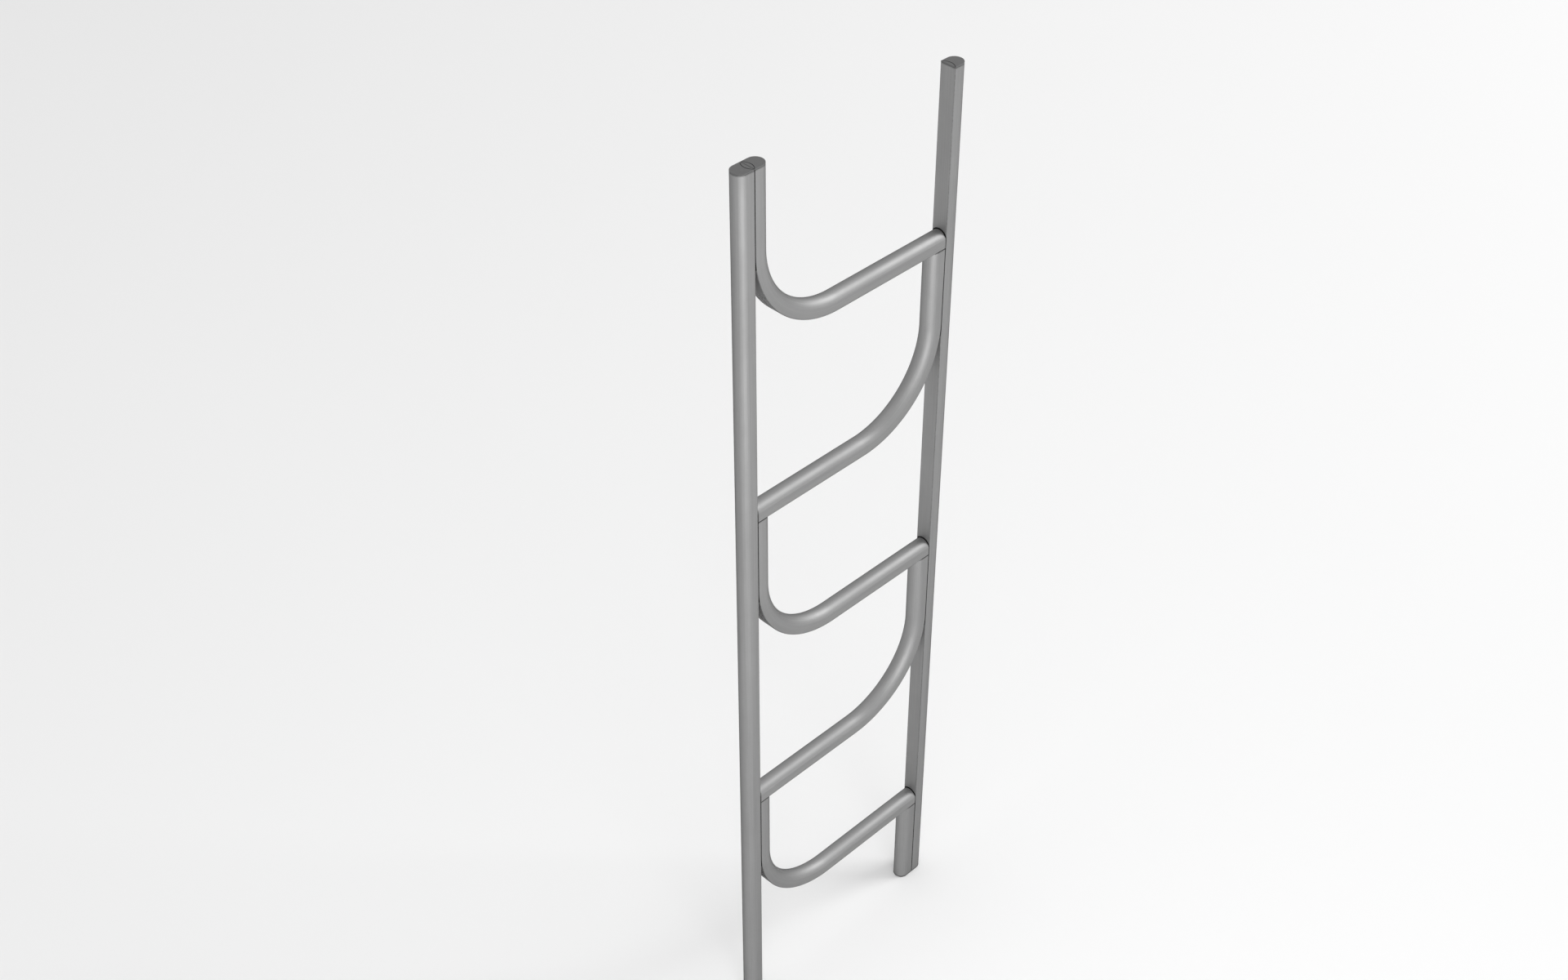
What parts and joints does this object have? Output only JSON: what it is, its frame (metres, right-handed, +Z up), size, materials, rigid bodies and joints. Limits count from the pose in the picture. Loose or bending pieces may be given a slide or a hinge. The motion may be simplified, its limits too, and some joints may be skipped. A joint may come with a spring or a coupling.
{
  "type": "boat boarding ladder",
  "caption": "Upright boarding ladder of hollow D-section bars: two straight stiles with J-shaped rungs that alternate sides, their legs lying flat against the stiles.",
  "frame": {"origin": "on the floor, midway between the stiles and midway through the ladder's thickness", "axes": "+X along the rungs to the right, +Y through the ladder away from the climber, +Z up"},
  "size_m": [0.4, 0.025, 1.5],
  "materials": {
    "bar_aluminium": "satin anodised, fine grain along the bar",
    "block_aluminium": "machined",
    "pin_steel": "stainless, ground",
    "plug_nylon": "moulded, fine matt texture",
    "foot_rubber": "matt moulded rubber"
  },
  "bodies": {
    "root": {"stile_left": "bar_aluminium", "stile_right": "bar_aluminium", "foot_leg": "bar_aluminium", "rung_1": "bar_aluminium", "rung_2": "bar_aluminium", "rung_3": "bar_aluminium", "rung_4": "bar_aluminium", "rung_5": "bar_aluminium", "rung_1_end_block": "block_aluminium", "rung_2_end_block": "block_aluminium", "rung_3_end_block": "block_aluminium", "rung_4_end_block": "block_aluminium", "rung_5_end_block": "block_aluminium", "rung_2_leg_block": "block_aluminium", "rung_3_leg_block": "block_aluminium", "rung_4_leg_block": "block_aluminium", "rung_5_leg_block": "block_aluminium", "foot_leg_block": "block_aluminium", "rung_1_leg_pins": "pin_steel", "rung_2_leg_pins": "pin_steel", "rung_3_leg_pins": "pin_steel", "rung_4_leg_pins": "pin_steel", "rung_5_leg_pins": "pin_steel", "foot_leg_pins": "pin_steel", "stile_left_top_plug": "plug_nylon", "stile_right_top_plug": "plug_nylon", "rung_1_top_plug": "plug_nylon", "stile_left_foot": "foot_rubber", "stile_right_foot": "foot_rubber", "foot_leg_foot": "foot_rubber"}
  },
  "joints": []
}
